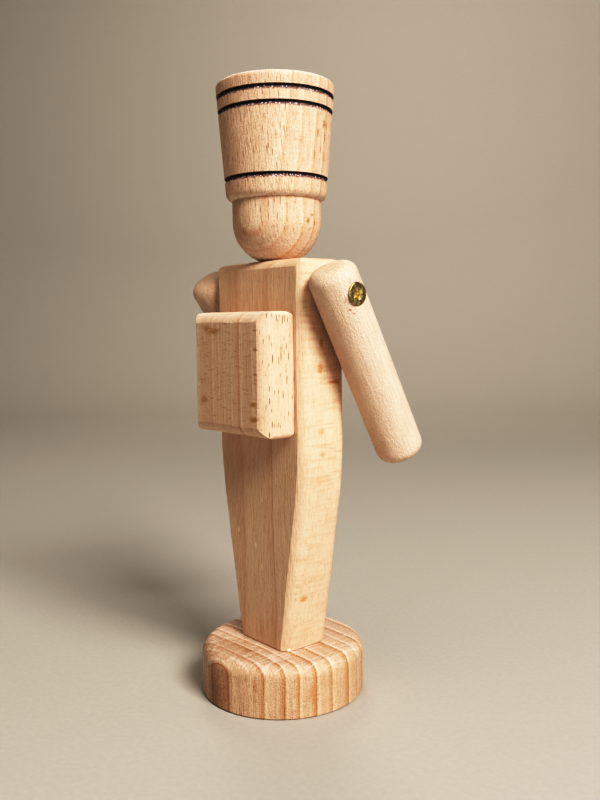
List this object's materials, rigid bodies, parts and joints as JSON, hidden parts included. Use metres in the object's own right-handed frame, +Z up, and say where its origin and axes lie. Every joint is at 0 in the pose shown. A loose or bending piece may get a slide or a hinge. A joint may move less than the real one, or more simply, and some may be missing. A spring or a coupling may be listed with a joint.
{
  "type": "toy soldier figure",
  "caption": "Plain beech toy soldier: turned head in a tall hat, tapered block body with a knapsack, dowel arms that turn on screws, and a round base.",
  "frame": {"origin": "centre of the base's flat underside, where the figure stands", "axes": "+Z up along the figure, -Y the way it faces, +X towards its left hand"},
  "size_m": [0.0604, 0.0503, 0.1554],
  "materials": {
    "base_beech": "sanded, unpainted, growth rings crossing the top",
    "body_beech": "sanded, unpainted",
    "turned_beech": "turned, unpainted, grooves burnt black",
    "knapsack_beech": "sanded, unpainted, quarter-sawn outer face",
    "dowel_beech": "smooth, unpainted",
    "screw_brass": "yellow-plated, slightly dull"
  },
  "bodies": {
    "figure": {"base_disc": "base_beech", "body_block": "body_beech", "turned_head": "turned_beech", "neck_dowel": "dowel_beech", "knapsack": "knapsack_beech", "right_arm_screw": "screw_brass", "left_arm_screw": "screw_brass", "right_foot_screw": "screw_brass", "left_foot_screw": "screw_brass"},
    "right_arm": {"right_arm": "dowel_beech"},
    "left_arm": {"left_arm": "dowel_beech"}
  },
  "joints": [
    {"name": "right_shoulder", "type": "hinge", "parent": "figure", "child": "right_arm", "pos_m": [-0.02405, 0.0008, 0.1026], "axis": [-1, 0, 0], "continuous": true},
    {"name": "left_shoulder", "type": "hinge", "parent": "figure", "child": "left_arm", "pos_m": [0.02405, 0.0008, 0.1026], "axis": [-1, 0, 0], "continuous": true}
  ]
}
